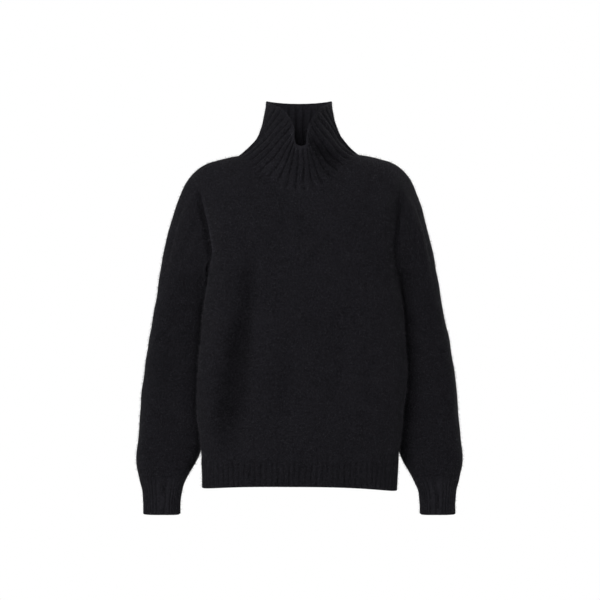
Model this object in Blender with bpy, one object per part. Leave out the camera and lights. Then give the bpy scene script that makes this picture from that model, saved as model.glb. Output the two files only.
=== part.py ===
"""A turtleneck sweater, filled out as it is worn, with nobody in it.

Sizes are in millimetres until a mesh is made. +Z is up, the front faces -Y, and the wearer's left is +X.
The origin is the middle of the neck's base, level with the inner ends of the shoulder seams, which is
where a wearer holds the sweater up.

Every piece is a wall of knit cloth between two grids of points. The outer grid follows the garment's
form, and the inner grid lies CLOTH further in. Ribs are raised in the outer grid alone.
"""

import bmesh
import bpy
import numpy as np

# The cloth
CLOTH = 3.0  # wall of felted wool knit
SEAM = 0.3  # gap between two pieces at a seam

# Heights that divide the pieces
HEM_EDGE = -621.0
HEM_TOP = -560.0
ARMPIT = -225.0
SLEEVE_HANGS = -300.0  # from here down the sleeve's rings are level
CUFF_TOP = -599.0
CUFF_EDGE = -671.5

# The body: level sections as rounded ovals. Shift is how far the body hangs to the wearer's left.
SQUARENESS = 2.4  # 2 would be an ellipse
TORSO = np.array(
    [
        (-624, 182.5, 102, 97, 2),
        (-590, 183.5, 105, 99, 2.5),
        (-560, 185, 108, 101, 3),
        (-493, 191, 113, 103, 4),
        (-417, 195, 117, 105, 7),
        (-342, 191, 119, 107, 8.5),
        (-265, 185.5, 120, 111, 9),
        (-225, 182, 120, 113, 9),
        (-190, 187, 119, 113, 8.5),
        (-150, 194, 117, 111, 7.5),
        (-77, 207, 104, 104, 4),
        (-20, 215, 98, 98, 1),
        (10, 217, 96, 96, 0),
    ],
    dtype=[("height", float), ("half_width", float), ("front", float), ("back", float), ("shift", float)],
)
HEM_RISE = 10.0  # the hem rides up this far in the middle of the front
HEM_TILT = 2.5  # and hangs this much lower at the wearer's left

# The largest soft folds, each a trough down a straight line that widens on its way. A negative depth is a
# ridge. On the collar across counts ribs from the notch, and height is a share of the way up.
FOLD_COLUMNS = [
    ("top_across", float),
    ("top_height", float),
    ("low_across", float),
    ("low_height", float),
    ("top_width", float),
    ("low_width", float),
    ("depth", float),
]
FOLDS = {
    "front": np.array(
        [
            (-88, -150, -142, -556, 17, 34, 6.0),
            (-20, -330, -34, -530, 14, 20, 2.5),
            (62, -250, 84, -470, 16, 24, 3.0),
            (128, -330, 122, -556, 12, 20, 3.5),
        ],
        dtype=FOLD_COLUMNS,
    ),
    "back": np.array(
        [
            (96, -170, 138, -556, 18, 34, 6.0),
            (-104, -240, -128, -540, 16, 28, 5.0),
            (-26, -120, -16, -330, 16, 24, 3.0),
            (34, -330, 20, -556, 14, 24, 3.5),
        ],
        dtype=FOLD_COLUMNS,
    ),
    "collar": np.array(
        [
            (3.4, 1.05, 5.8, 0.12, 0.9, 1.5, 4.5),
            (-3.6, 1.1, -3.0, 0.45, 1.2, 1.2, -2.5),
        ],
        dtype=FOLD_COLUMNS,
    ),
}
FOLD_ENDS = 0.6  # how gently a fold fades at its ends
FOLDS_START = 60.0  # a fold is whole from this far in front of the side seam

# The shoulder line, from the neck out
SHOULDER = np.array(
    [(0, 9), (60, 8.5), (113, 5), (156, -4.6), (174, -10.4), (190, -20.5), (215, -48)],
    dtype=[("across", float), ("height", float)],
)
SHOULDER_TIP = 190.0
SHOULDER_TILT = 0.008  # rise to the wearer's left, for each millimetre across
SHOULDER_ROLL = {"front": 125.0, "back": 100.0}  # height over which the body curves up to the seam

# The crease where the sleeve meets the body
SINK = {"front": 16.0, "back": 7.0}  # how far the armhole seam lies behind the body's own curve
SINK_REACH = 22.0  # over this width beside the seam
SINK_FADES = 60.0  # and down to this far under the armpit
CREASE = 1.4  # how far the sleeve turns out of the seam again
CREASE_TOP = -50.0
CREASE_FULL = -105.0

# The neckline
NECK_POINT = 113.0  # its half width, at the shoulder seams
NECK_LOW = {"front": -75.0, "back": -10.0}  # its height in the middle
NECK_CURVE = {"front": 1.75, "back": 2.2}  # 1 is a straight V, more is rounder
NECK_SPANS = {"front": 12, "back": 12}  # columns of the panel along the neckline

# The panels' grid
PANEL_SPANS = 32  # columns from side seam to side seam
EDGE_CLOSER = 0.4  # share by which they lie closer together beside the side seams
SIDE_ROWS = 6  # from the hem band up to the armpit
ARMHOLE_ROWS = 12  # from the armpit up
ARMHOLE_SETTLES = 0.35  # share of the armhole's height over which its rounded bottom turns up
ARMPIT_LEAN = (0.0, 0.2, 0.4, 0.6, 0.8)  # share of its lean the wall's edge keeps, from the armpit up

# The sleeves, below where they hang free: level ovals. Inner and outer are the distances of the oval's
# edges from the garment's middle. Shift moves the inner edge with the body, and spread the outer edge,
# both to the wearer's left.
SLEEVE = np.array(
    [
        (-599, 211, 304, 2, 1.5, 32, 41, 2.3),
        (-580, 199.5, 308.5, 2, 1.5, 38, 47, 2.5),
        (-560, 190.5, 309.5, 2, 1.5, 43, 51, 2.7),
        (-530, 185.0, 307, 3, 1.5, 47, 53, 2.8),
        (-474, 189.5, 301.5, 5, 1.5, 48, 55, 2.8),
        (-417, 192.5, 295, 7, 2, 48, 56, 2.8),
        (-361, 190.5, 287, 8.5, 1, 46, 57, 2.8),
        (-300, 186.0, 277, 9, 0, 42, 58, 2.5),
    ],
    dtype=[
        ("height", float),
        ("inner", float),
        ("outer", float),
        ("shift", float),
        ("spread", float),
        ("middle", float),
        ("half_depth", float),
        ("squareness", float),
    ],
)
UNDERARM_FORWARD = 0.30  # angle by which the underarm seam runs forward of the sleeve's inmost line
SLEEVE_ROWS = 6
CAP_ROWS = (0.09, 0.22, 0.40, 0.60, 0.80, 1.0)  # rings of the cap, as shares of the way down
CAP_REACH = {"underarm": (5.0, 60.0), "shoulder": (59.0, 106.0)}  # how stiffly it leaves and arrives

# The cuffs: level ovals
CUFF = np.array(
    [
        (-672, 227, 294.5, 3, 1.5, 30, 31, 2.3),
        (-647, 226.5, 295, 3, 1.5, 30, 31, 2.3),
        (-626, 223, 297, 3, 1.5, 31, 33, 2.3),
        (-612, 218, 300.5, 2, 1.5, 32, 37, 2.3),
        (-599, 211, 304, 2, 1.5, 32, 41, 2.3),
    ],
    dtype=SLEEVE.dtype,
)
CUFF_ROWS = (CUFF_TOP - SEAM / 2, -612.0, -626.0, -647.0, CUFF_EDGE)
CUFF_RIBS = 32
CUFF_RIB_HEIGHT = 1.3

# The hem band
HEM_RIBS = 48  # on each panel
HEM_RIB_HEIGHT = 1.3
HEM_ROWS = 2

# The collar's rim, on the wearer's left from the notch round to the middle of the back. Rib counts the
# ribs from the notch, upright is how far the cloth turns straight up there, and lean is how far its edge
# tips forward.
RIM = np.array(
    [
        (0, 0, -97, 15, 0.55, 0.30),
        (0.9, 8, -96.5, 17.5, 0.45, 0.30),
        (2.8, 11.5, -94, 31, 0.25, 0.35),
        (5.2, 14.5, -88, 54, 0.10, 0.35),
        (7.0, 23, -76, 71, 0.10, 0.30),
        (8.6, 37, -57, 88, 0.20, 0.15),
        (10.1, 50, -33, 96, 0.22, 0.05),
        (11.5, 57.5, -8, 103, 0.22, 0.0),
        (12.5, 60.5, 12, 106, 0.24, 0.0),
        (14.0, 52, 36, 106.5, 0.55, -0.03),
        (15.9, 30, 52, 105.5, 0.85, -0.05),
        (18, 0, 58, 105, 0.85, -0.05),
    ],
    dtype=[
        ("rib", float),
        ("across", float),
        ("forward", float),
        ("height", float),
        ("upright", float),
        ("lean", float),
    ],
)
NOTCH_SHIFT = 5.0  # the notch lies this far to the wearer's left
RIM_SHIFT = 1.0  # and the back of the rim this far
NOTCH_DEPTH = 90.0  # the one shift turns into the other over this much of the collar's depth
COLLAR_RIBS = 36
COLLAR_ROWS = (0.0, 0.05, 0.12, 0.22, 0.34, 0.46, 0.58, 0.70, 0.82, 0.92, 1.0)
COLLAR_REACH = (0.19, 0.50)  # how stiffly it leaves the neckline and arrives at the rim
COLLAR_RIB_HEIGHT = 2.2
RIBS_RISE = 0.3  # share of the collar's depth over which its ribs rise out of the plain knit

# One rib across: a groove, then a broad ridge
RIB_PROFILE = (-0.5, 0.5, 0.5)
RIB_POINTS = len(RIB_PROFILE)
COLLAR_PROFILE = (0.5, 0.15, -0.5, 0.15)
COLLAR_POINTS = len(COLLAR_PROFILE)
COLLAR_INSIDE = 3  # outer columns of the collar to each inner one

NAVY_BLACK = (0.0100, 0.0097, 0.0122, 1.0)


# ---------------------------------------------------------------- curves

FINE = 721  # points of a curve that is measured before it is divided evenly


def through(places, values, place):
    """The value at this place on a smooth curve through the values."""
    slopes = np.gradient(values, places)
    place = np.clip(place, places[0], places[-1])
    row = np.clip(np.searchsorted(places, place) - 1, 0, len(places) - 2)
    span = places[row + 1] - places[row]
    t = (place - places[row]) / span
    rise = values[row + 1] - values[row]
    start = slopes[row] * span
    end = slopes[row + 1] * span
    return values[row] + t * (start + t * (3 * rise - 2 * start - end + t * (start + end - 2 * rise)))


def read(table, column, place):
    """A column of a table at this place in its first column."""
    return through(table[table.dtype.names[0]], table[column], place)


def divided(points, values, shares):
    """The values at these shares of the length of the line through the points."""
    steps = np.linalg.norm(np.diff(points, axis=0), axis=1)
    length = np.concatenate([[0.0], np.cumsum(steps)])
    return np.interp(shares * length[-1], length, values)


def evenly(points, values, count):
    """The values at count + 1 places that divide the line through the points into equal lengths."""
    return divided(points, values, np.linspace(0, 1, count + 1))


def unit(vectors):
    return vectors / np.linalg.norm(vectors, axis=-1, keepdims=True)


def smooth_step(value):
    value = np.clip(value, 0, 1)
    return value * value * (3 - 2 * value)


def bezier(start, start_handle, end_handle, end, t):
    s = 1 - t
    return s**3 * start + 3 * s * s * t * start_handle + 3 * s * t * t * end_handle + t**3 * end


# ---------------------------------------------------------------- the body's form


def squared(value, squareness=SQUARENESS):
    return np.sign(value) * np.abs(value) ** (2 / squareness)


def shoulder_height(across):
    return read(SHOULDER, "height", np.abs(across)) + SHOULDER_TILT * across


def fold_depth(part, x, height):
    """How far the folds take the cloth in at this place. Each fades out at its two ends."""
    total = 0 * x
    for fold in FOLDS[part]:
        down = np.clip((fold["top_height"] - height) / (fold["top_height"] - fold["low_height"]), 0, 1)
        across = fold["top_across"] + (fold["low_across"] - fold["top_across"]) * down
        width = fold["top_width"] + (fold["low_width"] - fold["top_width"]) * down
        lasting = np.sin(np.pi * down) ** FOLD_ENDS
        total = total + fold["depth"] * lasting * np.exp(-(((x - across) / width) ** 2))
    return total


def torso_point(side, turn, height):
    """Point of the body's outer face. Turn is the angle from the middle of that side round to its seam."""
    from_middle = read(TORSO, "half_width", height) * squared(np.sin(turn))
    x = from_middle + read(TORSO, "shift", height)
    depth = read(TORSO, side, height) * squared(np.maximum(np.cos(turn), 0))
    roll = SHOULDER_ROLL[side]
    climb = np.clip((height - shoulder_height(from_middle) + roll) / roll, 0, 1)
    depth = SEAM / 2 + depth * np.sqrt(1 - climb * climb)
    depth = depth - fold_depth(side, x, height) * smooth_step(depth / FOLDS_START)
    return np.stack([x, -depth if side == "front" else depth, height + 0 * x], axis=-1)


def sink_armholes(side, grid):
    """Moves the cloth beside the armholes back from the body's oval, which makes the crease there."""
    x, y, height = np.moveaxis(grid, -1, 0)
    beside = smooth_step(1 - (x - x[:, :1]) / SINK_REACH) + smooth_step(1 - (x[:, -1:] - x) / SINK_REACH)
    above = smooth_step((CREASE_TOP - height) / (CREASE_TOP - CREASE_FULL))
    below = smooth_step(1 - (ARMPIT - height) / SINK_FADES)
    grid[..., 1] -= np.sign(y) * SINK[side] * beside * above * below * smooth_step(np.abs(y) / FOLDS_START)


def turn_at(x, height):
    share = np.clip(x / read(TORSO, "half_width", height), -1, 1)
    return np.arcsin(np.sign(share) * np.abs(share) ** (SQUARENESS / 2))


def top_edge(side, x):
    """Height of the panel's top edge: the neckline, then the shoulder seam."""
    shoulder = shoulder_height(x)
    neck_point = shoulder_height(NECK_POINT * np.sign(x))
    rise = np.minimum(np.abs(x) / NECK_POINT, 1) ** NECK_CURVE[side]
    neckline = NECK_LOW[side] + (neck_point - NECK_LOW[side]) * rise
    return np.where(np.abs(x) < NECK_POINT, neckline, shoulder)


def panel_top(side):
    """Where each column of the panel meets its top edge, evenly along the neckline and each shoulder."""
    x = np.linspace(-NECK_POINT, NECK_POINT, FINE)
    height = top_edge(side, x)
    neckline = evenly(torso_point(side, turn_at(x, height), height), x, NECK_SPANS[side])
    shoulder_spans = (PANEL_SPANS - NECK_SPANS[side]) // 2
    shoulder = np.linspace(NECK_POINT, SHOULDER_TIP, shoulder_spans + 1)[1:]
    return np.concatenate([-shoulder[::-1], neckline, shoulder])


def panel_points(side):
    """Grid of a body panel's outer face, rows from the hem band up, columns from -X to +X."""
    turn = np.linspace(-np.pi / 2, np.pi / 2, FINE)
    across = np.linspace(-1, 1, PANEL_SPANS + 1)
    shares = (1 + across + EDGE_CLOSER * np.sin(np.pi * across) / np.pi) / 2
    low_turn = divided(torso_point(side, turn, HEM_TOP + 0 * turn), turn, shares)
    top_x = panel_top(side)
    top_height = top_edge(side, top_x)
    top_turn = turn_at(top_x, top_height)
    edge = across**2
    rows = []
    for height in np.linspace(HEM_TOP + SEAM / 2, ARMPIT, SIDE_ROWS + 1):
        rows.append(torso_point(side, low_turn, np.full(PANEL_SPANS + 1, height)))
    for row in range(1, ARMHOLE_ROWS + 1):
        climb = (1 - np.cos(np.pi * row / ARMHOLE_ROWS)) / 2
        settled = np.sqrt(1 - (1 - min(1.0, climb / ARMHOLE_SETTLES)) ** 2)
        share = edge * settled + (1 - edge) * climb
        row_turn = low_turn + (top_turn - low_turn) * share
        rows.append(torso_point(side, row_turn, ARMPIT + (top_height - ARMPIT) * climb))
    grid = np.array(rows)
    sink_armholes(side, grid)
    return grid


# ---------------------------------------------------------------- walls


def normals_of(grid, ring):
    """Unit normals of a grid of points. A ring's columns close on themselves."""
    if ring:
        along = np.roll(grid, -1, axis=1) - np.roll(grid, 1, axis=1)
    else:
        along = np.gradient(grid, axis=1)
    return unit(np.cross(along, np.gradient(grid, axis=0)))


def without(normals, axis):
    """The normals turned square to an axis, so that a seam's faces stay in one plane across it."""
    flat = normals.copy()
    flat[..., axis] = 0
    return unit(flat)


def make_solid(name, outer, inner, ring, material):
    """One closed wall between two grids. The outer grid may have several columns to each inner one."""
    rows, outer_columns = outer.shape[:2]
    inner_columns = inner.shape[1]
    spans = inner_columns if ring else inner_columns - 1
    step = outer_columns // inner_columns if ring else (outer_columns - 1) // spans
    inner_start = rows * outer_columns

    def outside(row, column):
        return row * outer_columns + column % outer_columns

    def inside(row, column):
        return inner_start + row * inner_columns + column % inner_columns

    def cell(corner, row, column):
        after = column + 1
        return corner(row, column), corner(row, after), corner(row + 1, after), corner(row + 1, column)

    faces = []
    for row in range(rows - 1):
        faces += [cell(outside, row, column) for column in range(spans * step)]
        faces += [cell(inside, row, column)[::-1] for column in range(spans)]
    for row in (0, rows - 1):
        for column in range(spans):
            first = column * step
            half = step // 2
            for point in range(first, first + half):
                faces.append((outside(row, point + 1), outside(row, point), inside(row, column)))
            faces.append((outside(row, first + half), inside(row, column), inside(row, column + 1)))
            for point in range(first + half, first + step):
                faces.append((outside(row, point + 1), outside(row, point), inside(row, column + 1)))
    if not ring:
        for row in range(rows - 1):
            for outer_end, inner_end in ((0, 0), (outer_columns - 1, inner_columns - 1)):
                faces.append(
                    (
                        outside(row, outer_end),
                        outside(row + 1, outer_end),
                        inside(row + 1, inner_end),
                        inside(row, inner_end),
                    )
                )
    points = np.concatenate([outer.reshape(-1, 3), inner.reshape(-1, 3)]) / 1000
    mesh = bpy.data.meshes.new(name)
    mesh.from_pydata(points.tolist(), [], faces)
    shell = bmesh.new()
    shell.from_mesh(mesh)
    bmesh.ops.recalc_face_normals(shell, faces=shell.faces)
    shell.to_mesh(mesh)
    shell.free()
    mesh.shade_smooth()
    mesh.set_sharp_from_angle(angle=np.radians(50))
    mesh.materials.append(material)
    piece = bpy.data.objects.new(name, mesh)
    bpy.context.scene.collection.objects.link(piece)
    return piece


def refine_columns(grid, step, ring):
    """Adds step - 1 evenly spaced columns after each column."""
    after = np.roll(grid, -1, axis=1) if ring else grid[:, 1:]
    before = grid if ring else grid[:, :-1]
    shares = np.arange(step) / step
    fine = before[:, :, None] + (after - before)[:, :, None] * shares[None, None, :, None]
    fine = fine.reshape(grid.shape[0], -1, grid.shape[2])
    return fine if ring else np.concatenate([fine, grid[:, -1:]], axis=1)


# ---------------------------------------------------------------- the pieces


def body_panel(side, material):
    """Makes a panel, and returns its outer grid and normals, which the sleeves and the collar start from."""
    outer = panel_points(side)
    sign = 1 if side == "front" else -1
    normals = sign * normals_of(outer, False)
    normals[: SIDE_ROWS + 1, [0, -1]] = without(normals[: SIDE_ROWS + 1, [0, -1]], 1)
    for row, lean in enumerate(ARMPIT_LEAN):
        normals[SIDE_ROWS + row, [0, -1], 2] *= lean
    normals = unit(normals)
    shoulder = (PANEL_SPANS - NECK_SPANS[side]) // 2
    for columns in (slice(None, shoulder + 1), slice(-shoulder - 1, None)):
        normals[-1, columns] = without(normals[-1, columns], 1)
    eased = normals[-1].copy()
    eased[1:-1] += normals[-1, :-2] + normals[-1, 2:]
    neckline = slice(shoulder + 1, -shoulder - 1)
    normals[-1, neckline] = unit(eased[neckline])
    normals[0] = without(normals[0], 2)
    make_solid(side, outer, outer - CLOTH * normals, False, material)
    return outer, normals


def hem_band(side, name, material):
    """Ribbed band under a panel, its ribs even along the edge."""
    sign = 1 if side == "front" else -1
    columns = HEM_RIBS * RIB_POINTS
    turn = np.linspace(-np.pi / 2, np.pi / 2, FINE)
    even = evenly(torso_point(side, turn, HEM_TOP + 0 * turn), turn, columns)
    rise = HEM_RISE * np.cos(even) ** 2 if side == "front" else 0
    rise = rise - HEM_TILT * np.sin(even)
    drop = np.linspace(1, 0, HEM_ROWS + 1)[:, None]
    top = HEM_TOP - SEAM / 2
    heights = top + (HEM_EDGE + rise - top) * drop
    base = np.array([torso_point(side, even, row) for row in heights])
    normals = sign * normals_of(base, False)
    normals[:, [0, -1]] = without(normals[:, [0, -1]], 1)
    normals = without(normals, 2)
    ribs = np.resize(RIB_PROFILE, columns + 1)
    ribs[[0, -1]] = 0
    outer = base + HEM_RIB_HEIGHT * ribs[None, :, None] * normals
    inner = (base - CLOTH * normals)[:, ::RIB_POINTS]
    make_solid(name, outer, inner, False, material)


def loop_frame(points, normals, towards):
    """Closed seam loop: unit vectors that lead on across it, in the cloth's own face."""
    along = unit(np.roll(points, -1, axis=0) - np.roll(points, 1, axis=0))
    across = unit(np.cross(normals, along))
    return across if (across * towards).sum() > 0 else -across


def armhole_loop(front, back, hand):
    """The armhole on one side, from the armpit up the front, over the tip and down the back."""
    edge = -1 if hand > 0 else 0
    loops = []
    for front_part, back_part in zip(front, back, strict=True):
        up = front_part[SIDE_ROWS:, edge]
        down = back_part[SIDE_ROWS:, edge][::-1]
        tip = (up[-1] + down[0]) / 2
        pit = (up[0] + down[-1]) / 2
        loops.append(np.concatenate([[pit], up[1:-1], [tip], down[1:-1]]))
    points, normals = loops
    return points, unit(normals)


def oval_ring(table, height, hand, round_angles):
    """Level oval of a sleeve or cuff. Angle 0 is next to the body, a quarter turn on is the front."""
    inner = hand * read(table, "inner", height) + read(table, "shift", height)
    outer = hand * read(table, "outer", height) + read(table, "spread", height)
    turn = round_angles + UNDERARM_FORWARD * (1 + np.cos(round_angles)) / 2
    squareness = read(table, "squareness", height)
    x = (inner + outer) / 2 - (outer - inner) / 2 * squared(np.cos(turn), squareness)
    sideways = squared(np.sin(turn), squareness)
    y = read(table, "middle", height) - read(table, "half_depth", height) * sideways
    return np.stack([x, y, height + 0 * x], axis=-1)


def sleeve(name, front, back, hand, material):
    """Sleeve from the armhole seam to the cuff. Its cap's rings swing round from upright to level."""
    seam, seam_normals = armhole_loop(front, back, hand)
    columns = len(seam)
    angles = 2 * np.pi * np.arange(columns) / columns
    across = loop_frame(seam, seam_normals, np.array([hand, 0.0, 0.0]))
    start = seam + SEAM * across
    end = oval_ring(SLEEVE, SLEEVE_HANGS, hand, angles)
    next_row = (CUFF_TOP - SLEEVE_HANGS) / SLEEVE_ROWS
    down_slope = oval_ring(SLEEVE, SLEEVE_HANGS + next_row, hand, angles) - end
    crease = CREASE * smooth_step((CREASE_TOP - seam[:, 2]) / (CREASE_TOP - CREASE_FULL))
    leave = unit(across + crease[:, None] * seam_normals)
    high = ((1 - np.cos(angles)) / 2)[:, None]
    reach = [
        CAP_REACH["underarm"][end_of] * (1 - high) + CAP_REACH["shoulder"][end_of] * high for end_of in (0, 1)
    ]
    rings = [start]
    for t in CAP_ROWS:
        rings.append(bezier(start, start + reach[0] * leave, end - reach[1] * unit(down_slope), end, t))
    for height in np.linspace(SLEEVE_HANGS, CUFF_TOP + SEAM / 2, SLEEVE_ROWS + 1)[1:]:
        rings.append(oval_ring(SLEEVE, height, hand, angles))
    outer = np.array(rings)
    normals = -hand * normals_of(outer, True)
    normals[0] = seam_normals
    normals[-1] = without(normals[-1], 2)
    make_solid(name, outer, outer - CLOTH * normals, True, material)


def cuff(name, hand, material):
    columns = CUFF_RIBS * RIB_POINTS
    angles = 2 * np.pi * np.arange(columns) / columns
    base = np.array([oval_ring(CUFF, height, hand, angles) for height in CUFF_ROWS])
    normals = without(-hand * normals_of(base, True), 2)
    ribs = np.resize(RIB_PROFILE, columns)
    outer = base + CUFF_RIB_HEIGHT * ribs[None, :, None] * normals
    inner = (base - CLOTH * normals)[:, ::RIB_POINTS]
    make_solid(name, outer, inner, True, material)


def round_rim(column, ribs, sign):
    """A column of the rim's table at these ribs, right round. The wearer's right mirrors their left."""
    left = RIM[column]
    right = sign * left[-2:0:-1]
    values = np.tile(np.concatenate([left, right]), 3)
    places = np.concatenate([RIM["rib"], COLLAR_RIBS - RIM["rib"][-2:0:-1]])
    places = np.concatenate([places - COLLAR_RIBS, places, places + COLLAR_RIBS])
    return through(places, values, ribs)


def rim_loop(count):
    """Places round the collar's rim, from the notch, and the way the cloth runs up to each of them."""
    ribs = COLLAR_RIBS * np.arange(count) / count
    x = round_rim("across", ribs, -1)
    y = round_rim("forward", ribs, 1)
    x = x + RIM_SHIFT + (NOTCH_SHIFT - RIM_SHIFT) * smooth_step(-y / NOTCH_DEPTH)
    places = np.stack([x, y, round_rim("height", ribs, 1)], axis=1)
    straight_up = np.stack([0 * x, -round_rim("lean", ribs, 1), 1 + 0 * x], axis=1)
    return places, straight_up, round_rim("upright", ribs, 1)[:, None]


def collar(front, back, material):
    """Ribbed collar from the neckline up to its rim. The ribs fade into the plain knit at the seam."""
    loops = []
    for front_part, back_part in zip(front, back, strict=True):
        middle = PANEL_SPANS // 2
        half = NECK_SPANS["front"] // 2
        ahead = front_part[-1, middle - half : middle + half + 1]
        half = NECK_SPANS["back"] // 2
        behind = back_part[-1, middle - half : middle + half + 1][::-1]
        neck_left = (ahead[-1] + behind[0]) / 2
        neck_right = (ahead[0] + behind[-1]) / 2
        front_half = NECK_SPANS["front"] // 2
        loop = np.concatenate([[neck_right], ahead[1:-1], [neck_left], behind[1:-1]])
        loops.append(np.roll(loop, -front_half, axis=0))
    seam, seam_normals = loops[0], unit(loops[1])
    across = loop_frame(seam, seam_normals, np.array([0.0, 0.0, 1.0]))
    columns = COLLAR_RIBS * COLLAR_POINTS
    step = columns // len(seam)
    fine = refine_columns(np.stack([seam + SEAM * across, across, seam_normals]), step, True)
    start = fine[0]
    leave = unit(fine[1])
    start_normals = fine[2]
    end, straight_up, upright = rim_loop(columns)
    chord = end - start
    size = np.linalg.norm(chord, axis=1, keepdims=True)
    arrive = unit(upright * straight_up + (1 - upright) * chord / size)
    start_handle = start + COLLAR_REACH[0] * size * leave
    end_handle = end - COLLAR_REACH[1] * size * arrive
    base = np.array([bezier(start, start_handle, end_handle, end, t) for t in COLLAR_ROWS])
    rib = COLLAR_RIBS * np.arange(columns) / columns
    from_notch = np.where(rib < COLLAR_RIBS / 2, rib, rib - COLLAR_RIBS)
    taken_in = fold_depth("collar", from_notch, np.array(COLLAR_ROWS)[:, None])
    base = base - taken_in[..., None] * normals_of(base, True)
    normals = normals_of(base, True)
    normals[0] = start_normals
    ribs = np.resize(COLLAR_PROFILE, columns)
    raised = smooth_step(np.array(COLLAR_ROWS) / RIBS_RISE)
    outer = base + COLLAR_RIB_HEIGHT * raised[:, None, None] * ribs[None, :, None] * normals
    inner = (base - CLOTH * normals)[:, ::COLLAR_INSIDE]
    make_solid("collar", outer, inner, True, material)


def knit_material(name, colour, roughness):
    material = bpy.data.materials.new(name)
    material.use_nodes = True
    shader = material.node_tree.nodes["Principled BSDF"]
    shader.inputs["Base Color"].default_value = colour
    shader.inputs["Roughness"].default_value = roughness
    shader.inputs["Metallic"].default_value = 0.0
    return material


def main():
    for leftover in list(bpy.data.objects):
        bpy.data.objects.remove(leftover)
    plain = knit_material("plain_knit", NAVY_BLACK, 0.95)
    rib = knit_material("rib_knit", NAVY_BLACK, 0.92)
    front = body_panel("front", plain)
    back = body_panel("back", plain)
    hem_band("front", "hem_front", rib)
    hem_band("back", "hem_back", rib)
    sleeve("sleeve_left", front, back, 1, plain)
    sleeve("sleeve_right", front, back, -1, plain)
    cuff("cuff_left", 1, rib)
    cuff("cuff_right", -1, rib)
    collar(front, back, rib)


main()
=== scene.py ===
"""The looks of the turtleneck sweater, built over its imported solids.

Sizes are in millimetres until a mesh is made. The cloth follows the form of the solids on a finer grid, a
few millimetres off them in places: its front is flatter, the sleeves' front corners are squarer, and the
longest fold is split in two. Smaller creases, rounded edges, knitted stitches and a nap of fibres are added.
"""

import bpy
import numpy as np
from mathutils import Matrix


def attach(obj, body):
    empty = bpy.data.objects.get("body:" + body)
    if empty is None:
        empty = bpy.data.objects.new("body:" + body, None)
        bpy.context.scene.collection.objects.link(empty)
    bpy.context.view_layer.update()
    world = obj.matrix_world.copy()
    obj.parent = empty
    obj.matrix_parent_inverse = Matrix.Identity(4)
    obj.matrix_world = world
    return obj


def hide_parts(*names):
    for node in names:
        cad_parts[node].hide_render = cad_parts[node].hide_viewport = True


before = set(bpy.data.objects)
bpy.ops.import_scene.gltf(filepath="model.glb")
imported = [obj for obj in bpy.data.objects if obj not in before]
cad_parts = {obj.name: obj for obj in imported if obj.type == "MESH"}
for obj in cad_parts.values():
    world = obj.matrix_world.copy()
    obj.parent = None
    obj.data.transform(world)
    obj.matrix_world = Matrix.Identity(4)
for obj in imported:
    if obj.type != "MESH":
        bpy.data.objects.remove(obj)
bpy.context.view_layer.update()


def as_table(columns, *rows):
    """Rows of numbers, with a name for each column."""
    return np.array(list(rows), dtype=[(column, float) for column in columns.split()])


CLOTH = 3.0  # the thickness of the cloth

# Heights that divide the pieces
HEM_EDGE = -621.0
HEM_TOP = -560.0
ARMPIT = -225.0
SLEEVE_HANGS = -300.0
CUFF_TOP = -599.0
CUFF_EDGE = -671.5

# The body: level sections as ovals. Squareness is 2 for an ellipse and more for a squarer oval. Shift is how
# far the body hangs to the wearer's left.
SQUARENESS = {"front": 3.0, "back": 2.4}
TORSO = as_table(
    "height half_width front back shift",
    (-624, 182.5, 102, 97, 2),
    (-590, 183.5, 105, 99, 2.5),
    (-560, 185, 108, 101, 3),
    (-493, 191, 113, 103, 4),
    (-417, 195, 117, 105, 7),
    (-342, 191, 119, 107, 8.5),
    (-265, 185.5, 120, 111, 9),
    (-225, 182, 120, 113, 9),
    (-190, 187, 119, 113, 8.5),
    (-150, 194, 117, 111, 7.5),
    (-77, 207, 104, 104, 4),
    (-20, 215, 98, 98, 1),
    (10, 217, 96, 96, 0),
)
HEM_RISE = 10.0  # how much higher the front's edge is at its middle
HEM_TILT = 2.5  # how much the edge falls from the middle to the wearer's left, and rises to their right

# Soft folds, each a trough down a straight line. A negative depth is a ridge. On the collar across counts
# ribs from the notch, and height is a share of the way up.
FOLD_COLUMNS = "top_across top_height low_across low_height top_width low_width depth"
FOLDS = {
    "front": as_table(
        FOLD_COLUMNS,
        (-88, -150, -142, -556, 17, 34, 6.0),
        (-20, -330, -34, -530, 14, 20, 4.5),
        (62, -250, 84, -470, 16, 24, 3.6),
        (128, -330, 122, -556, 12, 20, 3.5),
        (-82, -165, -124, -556, 13, 28, 9.0),
        (-98, -290, -150, -556, 14, 30, 4.5),
        (-124, -250, -160, -556, 16, 26, 2.5),
        (-52, -300, -78, -556, 9, 14, -1.6),
        (30, -400, 88, -474, 7, 9, 1.6),
        (60, -430, 56, -552, 8, 12, 1.6),
        (100, -300, 104, -520, 8, 12, -1.4),
        (-160, -120, -118, -190, 8, 12, 1.6),
        (168, -130, 128, -215, 8, 13, 1.6),
    ),
    "back": as_table(
        FOLD_COLUMNS,
        (96, -170, 138, -556, 18, 34, 6.0),
        (-104, -240, -128, -540, 16, 28, 5.0),
        (-26, -120, -16, -330, 16, 24, 3.0),
        (34, -330, 20, -556, 14, 24, 3.5),
        (70, -360, 86, -556, 9, 14, -1.8),
        (-60, -330, -72, -556, 9, 13, -1.5),
        (-78, -440, -10, -500, 8, 10, 1.5),
        (-168, -125, -112, -230, 9, 13, 2.0),
        (166, -120, 118, -205, 9, 12, 1.8),
        (-70, -40, 60, -66, 10, 12, 1.5),
    ),
    "collar": as_table(
        FOLD_COLUMNS,
        (3.4, 1.05, 5.8, 0.12, 0.9, 1.5, 4.5),
        (-3.6, 1.1, -3.0, 0.45, 1.2, 1.2, -2.5),
    ),
}
FOLD_ENDS = 0.6  # along its line a fold's depth follows a sine to this power
FOLDS_START = 60.0  # folds are full where the cloth stands this far from the plane of the side seams

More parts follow.
